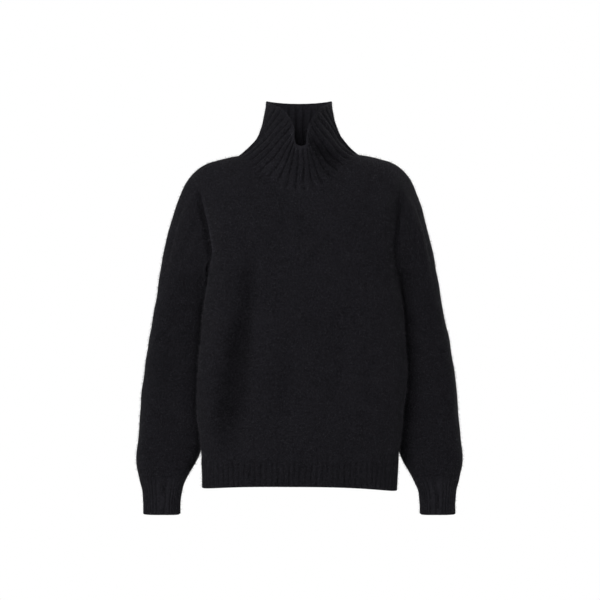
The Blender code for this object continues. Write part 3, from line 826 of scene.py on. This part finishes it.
def ribs_on(base, kind):
    """The ribs' wave over a piece, from -0.5 in a groove to 0.5 on a rib, and its height."""
    (stray, stray_size), (uneven, uneven_size) = RIB_STRAY[kind], RIB_UNEVEN[kind]
    start = RIB_START[kind] + stray * unevenness(base, stray_size, RIB_SEED[kind])
    phase = np.arange(base.shape[1]) / RIB_COLUMNS[kind] + start
    wave = -0.5 * np.cos(2 * np.pi * phase) - RIB_FULLNESS * np.cos(4 * np.pi * phase) + RIB_FULLNESS
    return wave, RIB_HEIGHT[kind] * (1 + uneven * unevenness(base, uneven_size, RIB_SEED[kind] + 1))


def rib_columns(kind):
    return RIB_COUNT[kind] * RIB_COLUMNS[kind]


def rib_places(kind):
    """Where the columns of a ribbed piece lie across the flat knit."""
    return WALES_IN_RIB * WALE * np.arange(rib_columns(kind) + 1) / RIB_COLUMNS[kind]


def groove_shade(wave, kind):
    """How much painted shade each place gets for lying in a groove."""
    return GROOVE_SHADE[kind] * within(wave, *GROOVE_HEIGHTS)


def hem_band(side):
    turned = 1 if side == "front" else -1
    columns = rib_columns("hem")
    turn = np.linspace(-np.pi / 2, np.pi / 2, FINE)
    even = evenly(torso_point(side, turn, HEM_TOP + 0 * turn), turn, columns)
    rise = HEM_RISE * np.cos(even) ** 2 if side == "front" else 0
    rise = rise - HEM_TILT * np.sin(even)
    drop = np.linspace(1, 0, HEM_ROWS + 1)[:, None]
    heights = HEM_TOP + (HEM_EDGE + CLOTH / 2 + rise - HEM_TOP) * drop
    base = np.array([torso_point(side, even, row) for row in heights])
    normals = turned * normals_of(base, False)
    normals[:, [0, -1]] = without(normals[:, [0, -1]], 1)
    normals = without(normals, 2)
    wave, height = ribs_on(base, "hem")
    raised = smooth_step(drop / RIBS_RISE["hem"])
    from_side = np.minimum(np.arange(columns + 1), np.arange(columns + 1)[::-1])
    at_seams = smooth_step(from_side / HEM_SIDE_COLUMNS)
    outer = base + (height * raised * at_seams * wave)[..., None] * normals
    # The last is the painted shade in the grooves.
    return outer, normals, rib_places("hem"), groove_shade(wave, "hem") * raised


def loop_frame(points, normals, towards):
    """Closed seam loop: unit vectors that lead on across it, in the cloth's own face."""
    along = unit(np.roll(points, -1, axis=0) - np.roll(points, 1, axis=0))
    across = unit(np.cross(normals, along))
    return across if (across * towards).sum() > 0 else -across


def armhole_loop(front, back, hand):
    """The armhole on one side, from the armpit up the front, over the tip and down the back."""
    edge = -1 if hand > 0 else 0
    loops = []
    for front_part, back_part in zip(front, back):
        up = front_part[SIDE_ROWS:, edge]
        down = back_part[SIDE_ROWS:, edge][::-1]
        tip = (up[-1] + down[0]) / 2
        pit = (up[0] + down[-1]) / 2
        loops.append(np.concatenate([[pit], up[1:-1], [tip], down[1:-1]]))
    points, normals = loops
    return points, unit(normals)


def oval_ring(table, height, hand, round_angles):
    """Level oval of a sleeve or cuff. Angle 0 is next to the body, a quarter turn on is the front."""
    inner = hand * read(table, "inner", height) + read(table, "shift", height)
    outer = hand * read(table, "outer", height) + read(table, "spread", height)
    turn = round_angles + UNDERARM_FORWARD * (1 + np.cos(round_angles)) / 2
    squareness = read(table, "squareness", height)
    squareness = np.where((turn > 0) & (turn < np.pi / 2), squareness * INNER_CORNER, squareness)
    squareness = np.where((turn >= np.pi / 2) & (turn < np.pi), squareness * OUTER_CORNER, squareness)
    x = (inner + outer) / 2 - (outer - inner) / 2 * squared(np.cos(turn), squareness)
    sideways = squared(np.sin(turn), squareness)
    y = read(table, "middle", height) - read(table, "half_depth", height) * sideways
    return np.stack([x, y, height + 0 * x], axis=-1)


def gathers(hand):
    """The puckers' folds, no two alike."""
    chance = np.random.default_rng(GATHERS["seed"] + hand)
    count = GATHERS["count"]
    stray = chance.uniform(-GATHERS["stray"], GATHERS["stray"], count)
    across = np.linspace(-GATHERS["round"], GATHERS["round"], count) + stray
    top = CUFF_TOP + chance.uniform(*GATHERS["above"], count)
    depth = chance.uniform(*GATHERS["depth"], count)
    width = chance.uniform(*GATHERS["width"], count)
    low = np.full(count, CUFF_TOP - GATHERS["below"])
    columns = (across, top, GATHERS["closer"] * across, low, GATHERS["wider"] * width, width, depth)
    return as_table(FOLD_COLUMNS, *zip(*columns))


def sleeve_rings(start, seam_normals, angles, hand):
    """Rings of points from the armhole seam to the cuff. The cap's swing round from upright to level."""
    across = loop_frame(start, seam_normals, np.array([hand, 0.0, 0.0]))
    leave = unit(across + (CREASE * creased(start[:, 2]))[:, None] * seam_normals)
    end = oval_ring(SLEEVE, SLEEVE_HANGS, hand, angles)
    arrive = unit(oval_ring(SLEEVE, SLEEVE_HANGS - SLOPE_SPAN, hand, angles) - end)
    high = ((1 - np.cos(angles)) / 2)[:, None]
    seam_reach, sleeve_reach = (under * (1 - high) + over * high for under, over in CAP_REACH)
    start_handle = start + seam_reach * leave
    end_handle = end - sleeve_reach * arrive
    cap = [bezier(start, start_handle, end_handle, end, t) for t in np.linspace(0, 1, CAP_SPANS + 1)]
    heights = np.linspace(SLEEVE_HANGS, CUFF_TOP, SLEEVE_ROWS + 1)[1:]
    return np.array(cap + [oval_ring(SLEEVE, height, hand, angles) for height in heights])


def sleeve(front, back, hand):
    """Sleeve from the armhole seam to the cuff, with its folds and the furrow beside the seam."""
    start, seam_normals = armhole_loop(front, back, hand)
    columns = len(start)
    base = sleeve_rings(start, seam_normals, 2 * np.pi * np.arange(columns) / columns, hand)
    normals = -hand * normals_of(base, True)
    normals[0] = seam_normals
    normals[-1] = without(normals[-1], 2)
    around = lengths_along(base, 1)
    around = around[:, columns // 2][:, None] - around
    folds = np.concatenate([SLEEVE_FOLDS[hand], gathers(hand)])
    settled = smooth_step(np.arange(len(base)) / SEAM_ROWS)[:, None]
    taken_in = fold_depth(folds, around, base[..., 2]) * settled
    from_seam = lengths_along(base, 0)
    beside = np.exp(-(((from_seam - FURROW_AWAY) / FURROW_WIDTH) ** 2))
    beside = beside * smooth_step(from_seam / FURROW_STARTS)
    along = creased(start[:, 2]) * smooth_step((start[:, 2] - ARMPIT) / FURROW_FADES)
    outer = base - (taken_in + FURROW * along * beside)[..., None] * normals
    # Painted shade beside the armhole seam, where the crease is.
    shade = SLEEVE_SHADE[hand] * along * smooth_step(1 - from_seam / SLEEVE_SHADE_REACH[hand])
    above_cuff = smooth_step((base[..., 2] - CUFF_TOP) / CUFF_CLEAR)
    return uneven_cloth(outer, normals, settled * above_cuff * SLEEVE_WANDER), normals, None, shade


def cuff(hand):
    columns = rib_columns("cuff")
    angles = 2 * np.pi * np.arange(columns) / columns
    heights = np.linspace(CUFF_TOP, CUFF_EDGE + CLOTH / 2, CUFF_ROWS + 1)
    base = np.array([oval_ring(CUFF, height, hand, angles) for height in heights])
    normals = without(-hand * normals_of(base, True), 2)
    wave, height = ribs_on(base, "cuff")
    raised = smooth_step(np.linspace(0, 1, CUFF_ROWS + 1) / RIBS_RISE["cuff"])[:, None]
    outer = base + (height * raised * wave)[..., None] * normals
    # Painted shade in the grooves, less the painted light all over the cuff.
    return outer, normals, rib_places("cuff"), (groove_shade(wave, "cuff") - PAINTED_CUFF_LIGHT) * raised


def round_rim(column, ribs, sign):
    """A column of the rim's table at these ribs, right round. The wearer's right mirrors their left."""
    left = RIM[column]
    right = sign * left[-2:0:-1]
    values = np.tile(np.concatenate([left, right]), 3)
    places = np.concatenate([RIM["rib"], COLLAR_RIBS - RIM["rib"][-2:0:-1]])
    places = np.concatenate([places - COLLAR_RIBS, places, places + COLLAR_RIBS])
    return through(places, values, ribs)


def rim_loop(count):
    """Places round the collar's rim, from the notch, and the way the cloth runs up to each of them."""
    ribs = COLLAR_RIBS * np.arange(count) / count
    x = round_rim("across", ribs, -1)
    y = round_rim("backward", ribs, 1)
    x = x + RIM_SHIFT + (NOTCH_SHIFT - RIM_SHIFT) * smooth_step(-y / NOTCH_FORWARD)
    places = np.stack([x, y, round_rim("height", ribs, 1)], axis=1)
    straight_up = np.stack([0 * x, -round_rim("lean", ribs, 1), 1 + 0 * x], axis=1)
    return places, straight_up, round_rim("upright", ribs, 1)[:, None]


def refine_columns(grid, step):
    """Adds step - 1 evenly spaced columns after each column of a ring."""
    after = np.roll(grid, -1, axis=1)
    shares = np.arange(step) / step
    fine = grid[:, :, None] + (after - grid)[:, :, None] * shares[None, None, :, None]
    return fine.reshape(grid.shape[0], -1, grid.shape[2])


def neck_loop(front, back):
    """The neckline from the middle of the front round by the wearer's left, as points and normals."""
    middle, half = PANEL_SPANS // 2, NECK_SPANS // 2
    loops = []
    for front_part, back_part in zip(front, back):
        ahead = front_part[-1, middle - half : middle + half + 1]
        behind = back_part[-1, middle - half : middle + half + 1][::-1]
        neck_left = (ahead[-1] + behind[0]) / 2
        neck_right = (ahead[0] + behind[-1]) / 2
        loop = np.concatenate([[neck_right], ahead[1:-1], [neck_left], behind[1:-1]])
        loops.append(np.roll(loop, -half, axis=0))
    points, normals = loops
    return points, unit(normals)


def collar_rows(start, leave, end, straight_up, upright, shares):
    """Rows of points from the neckline up to the rim, and the straight distance between the two."""
    chord = end - start
    size = np.linalg.norm(chord, axis=1, keepdims=True)
    arrive = unit(upright * straight_up + (1 - upright) * chord / size)
    start_handle = start + COLLAR_REACH[0] * size * leave
    end_handle = end - COLLAR_REACH[1] * size * arrive
    rows = [bezier(start, start_handle, end_handle, end, t) for t in shares]
    return np.array(rows), size[:, 0]


def collar_painted_light(from_notch, from_rim, raised):
    """How much painted light makes the collar lighter over the notch's rim, behind and under the notch."""
    at_notch = smooth_step(1 - from_rim / RIM_LIGHT_WIDTH) * within(np.abs(from_notch), *RIM_LIGHT_RIBS)
    behind = smooth_step(1 - from_rim / BACK_LIGHT_WIDTH) * within(np.abs(from_notch), *BACK_LIGHT_RIBS)
    under_notch = within(np.abs(from_notch - MIDDLE_RIB), *MIDDLE_LIGHT_RIBS) * raised
    return PAINTED_RIM_LIGHT * at_notch + PAINTED_BACK_LIGHT * behind + PAINTED_MIDDLE_LIGHT * under_notch


def collar(front, back):
    """Ribbed collar from the neckline up to its rim. The ribs fade into the plain knit at the seam."""
    seam, seam_normals = neck_loop(front, back)
    across = loop_frame(seam, seam_normals, np.array([0.0, 0.0, 1.0]))
    columns = rib_columns("collar")
    seam_grid = np.stack([seam, across, seam_normals])
    start, leave, start_normals = refine_columns(seam_grid, columns // len(seam))
    shares = np.linspace(0, 1, COLLAR_SPANS + 1)
    base, size = collar_rows(start, unit(leave), *rim_loop(columns), shares)
    rib = COLLAR_RIBS * np.arange(columns) / columns
    from_notch = np.where(rib < COLLAR_RIBS / 2, rib, rib - COLLAR_RIBS)
    taken_in = fold_depth(FOLDS["collar"], from_notch, shares[:, None])
    from_rim = size * (1 - shares[:, None])
    roll = RIM_ROLL * smooth_step(1 - from_rim / RIM_ROLL_WIDTH)
    base = base + (roll - taken_in)[..., None] * normals_of(base, True)
    normals = normals_of(base, True)
    normals[0] = start_normals
    wave, height = ribs_on(base, "collar")
    at_rim = RIBS_AT_RIM + (1 - RIBS_AT_RIM) * smooth_step(from_rim / RIM_ROLL_WIDTH)
    raised = smooth_step(shares / RIBS_RISE["collar"])[:, None] * at_rim
    outer = base + (height * raised * wave)[..., None] * normals
    # Painted shade in the grooves and the fold, less the painted light.
    shade = groove_shade(wave, "collar") * raised
    shade = shade + COLLAR_FOLD_SHADE * smooth_step(taken_in / DEEP_COLLAR_FOLD)
    return outer, normals, rib_places("collar"), shade - collar_painted_light(from_notch, from_rim, raised)


# ---------- cloth into the scene


def dress(node, cloth, ring, turned, material, fibre, slot, seed, rounds=(False, False)):
    """Makes a piece and its nap, named after the solid they cover, attaches them to the root and hides that
    solid.
    """
    outer, normals, places, shade = cloth
    piece = make_cloth(f"{node}_knit", outer, normals, ring, turned, material, rounds, places, shade)
    nap = make_nap(f"{node}_nap", outer, normals, ring, fibre, shade, FIBRES_TO_CM2[slot], seed)
    for thing in (piece, nap):
        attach(thing, "root")
    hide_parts(node)


# ---------- the studio

# In metres
LIGHTS = {"key": (202, 1.7, (-1.4, -3.6, 1.65)), "rim": (50, 1.2, (2.4, 2.6, 1.5))}  # watts, width, place
LIT_PLACE = (0, 0, -0.25)
FLOOR_REACH = 3.2
FLOOR_HEIGHT = -1.9
FLOOR_FINISH = {"Base Color": (0.92, 0.92, 0.92, 1), "Roughness": 0.9}
CAMERA_PLACE = (0.0028, -4.5, -0.267)
LENS = {"lens": 143.6, "sensor_width": 36, "clip_end": 50}


def aim(thing, target):
    """Turns a light so that it shines at the target."""
    way = np.array(target) - np.array(thing.location)
    flat = np.hypot(way[0], way[1])
    thing.rotation_euler = (np.pi / 2 + np.arctan2(way[2], flat), 0, np.arctan2(-way[0], way[1]))


def softbox(name, watts, size, place):
    lamp = bpy.data.lights.new(name, "AREA")
    lamp.energy = watts
    lamp.shape = "DISK"
    lamp.size = size
    box = add_object(name, lamp)
    box.location = place
    aim(box, LIT_PLACE)


def white_world():
    world = bpy.data.worlds.new("studio")
    world.use_nodes = True
    background = world.node_tree.nodes["Background"]
    background.inputs["Color"].default_value = (1, 1, 1, 1)
    background.inputs["Strength"].default_value = 1.0
    bpy.context.scene.world = world


def pale_floor():
    far, low = FLOOR_REACH, FLOOR_HEIGHT
    corners = [(-far, -far, low), (far, -far, low), (far, far, low), (-far, far, low)]
    mesh = bpy.data.meshes.new("floor")
    mesh.from_pydata(corners, [], [(0, 1, 2, 3)])
    mesh.materials.append(new_material("pale_floor", FLOOR_FINISH)[0])
    floor = add_object("floor", mesh)


def camera():
    lens = bpy.data.cameras.new("camera")
    for setting, value in LENS.items():
        setattr(lens, setting, value)
    viewer = add_object("camera", lens)
    viewer.location = CAMERA_PLACE
    viewer.rotation_euler = (np.pi / 2, 0, 0)
    bpy.context.scene.camera = viewer


def studio():
    bpy.context.scene.view_settings.view_transform = "Standard"
    white_world()
    for name, (watts, size, place) in LIGHTS.items():
        softbox(name, watts, size, place)
    pale_floor()
    camera()


def main():
    for leftover in list(bpy.data.lights):
        bpy.data.lights.remove(leftover)
    plain = knit_material("plain_knit")
    rib = knit_material("rib_knit")
    fibre = fibre_material()
    front = body_panel("front")
    back = body_panel("back")
    for seed, side, panel, turned in ((1, "front", front, 1), (2, "back", back, -1)):
        cloth = (*panel, None, panel_shade(side, panel[0]))
        dress(side, cloth, False, turned, plain, fibre, "plain_knit", seed)
    for seed, side, turned in ((3, "front", 1), (4, "back", -1)):
        band = hem_band(side)
        dress(f"hem_{side}", band, False, turned, rib, fibre, "rib_knit", seed, (True, False))
    for seed, hand, word in ((5, 1, "left"), (6, -1, "right")):
        tube = sleeve(front, back, hand)
        dress(f"sleeve_{word}", tube, True, -hand, plain, fibre, "plain_knit", seed)
    for seed, hand, word in ((7, 1, "left"), (8, -1, "right")):
        end = cuff(hand)
        dress(f"cuff_{word}", end, True, -hand, rib, fibre, "rib_knit", seed, (False, True))
    funnel = collar(front, back)
    dress("collar", funnel, True, 1, rib, fibre, "rib_knit", 9, (False, True))
    studio()


main()
